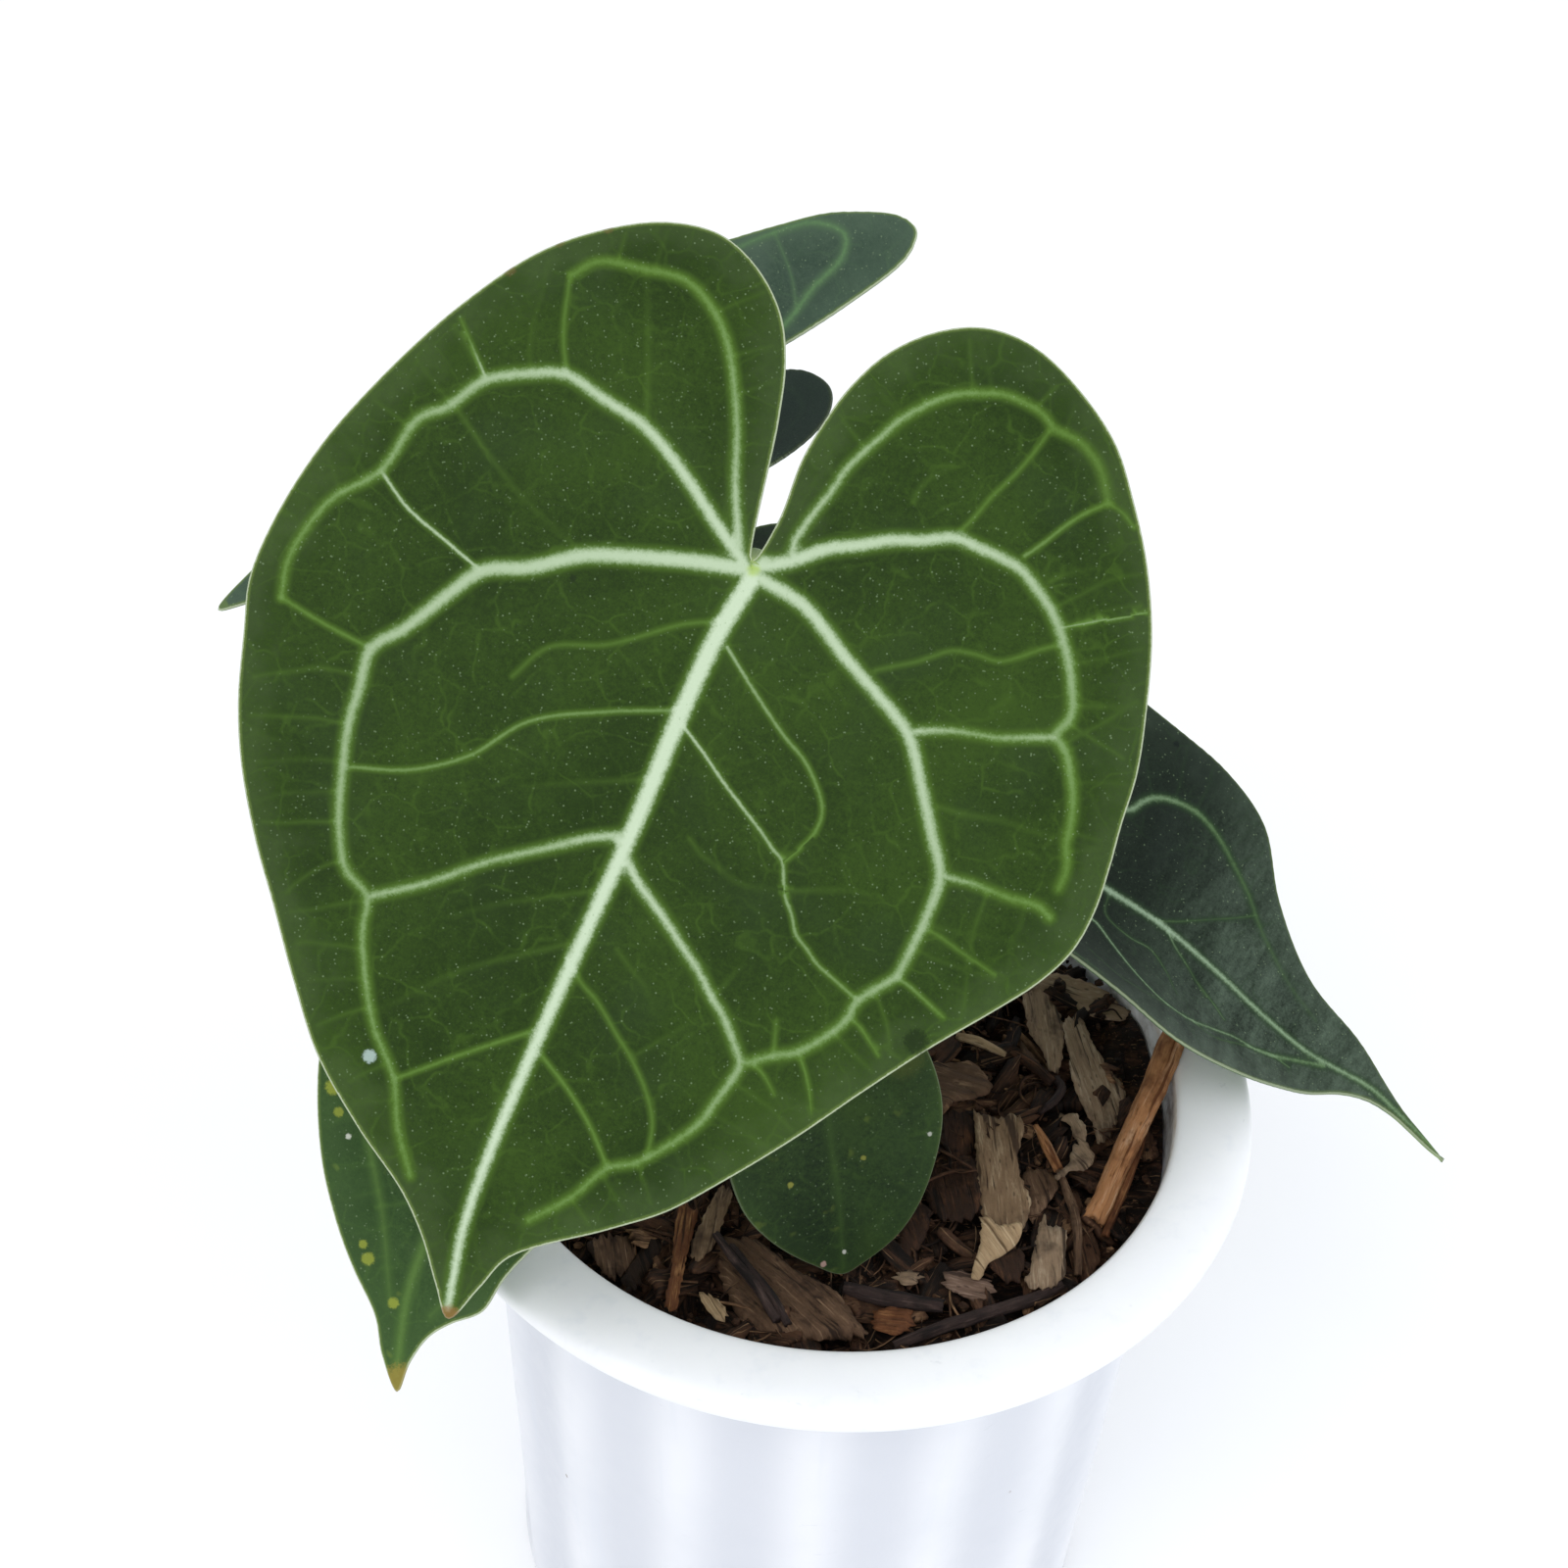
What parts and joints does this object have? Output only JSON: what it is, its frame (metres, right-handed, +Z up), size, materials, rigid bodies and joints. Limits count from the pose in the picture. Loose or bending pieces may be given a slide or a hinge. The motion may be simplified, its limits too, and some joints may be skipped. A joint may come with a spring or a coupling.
{
  "type": "potted foliage plant",
  "caption": "Potted heart-leaved foliage plant with pale-veined velvety leaves on thin stalks, in a white fluted round pot with a rolled rim.",
  "frame": {"origin": "centre of the pot's flat base, on the surface that it stands on", "axes": "+Z up along the pot's axis; -Y towards the front, where the largest leaf faces; +X to the viewer's right"},
  "size_m": [0.2271, 0.1799, 0.2789],
  "materials": {
    "pot": "smooth white moulded plastic, slightly bluish, with small specks of dirt",
    "mix": "dark brown bark and husk mix, matt and damp",
    "crown": "short stem in dry brown papery sheaths",
    "twig": "orange-brown twig, satin",
    "bark_tan": "tan bark scrap, rough",
    "bark_grey": "grey-tan weathered bark, matt",
    "bark_dark": "brown bark and husk, rough",
    "bark_red": "reddish-brown bark strip, fibrous",
    "root": "dark purple-brown root, satin",
    "stalk": "green leaf stalk, satin",
    "leaf_main": "velvety dark green blade with silvery pale green veins",
    "leaf_dark": "dark blue-green velvety blade with pale veins",
    "leaf_young": "mid green blade with yellow mottles",
    "leaf_small": "plain dark green young blade, satin"
  },
  "bodies": {
    "root": {"pot": "pot", "potting_mix": "mix", "stem_crown": "crown", "bark_twig": "twig", "twig_thin": "twig", "bark_scrap_tan": "bark_tan", "bark_strip_grey": "bark_grey", "bark_strip_mid": "bark_grey", "bark_strip_back": "bark_grey", "bark_strip_front": "bark_dark", "husk_chunk": "bark_dark", "bark_strip_red": "bark_red", "surface_root_front": "root", "surface_root_middle": "root", "petiole_main": "stalk", "petiole_right": "stalk", "petiole_back": "stalk", "petiole_low_left": "stalk", "petiole_small": "stalk", "blade_main": "leaf_main", "blade_right": "leaf_dark", "blade_back": "leaf_dark", "blade_low_left": "leaf_young", "blade_small": "leaf_small"}
  },
  "joints": []
}
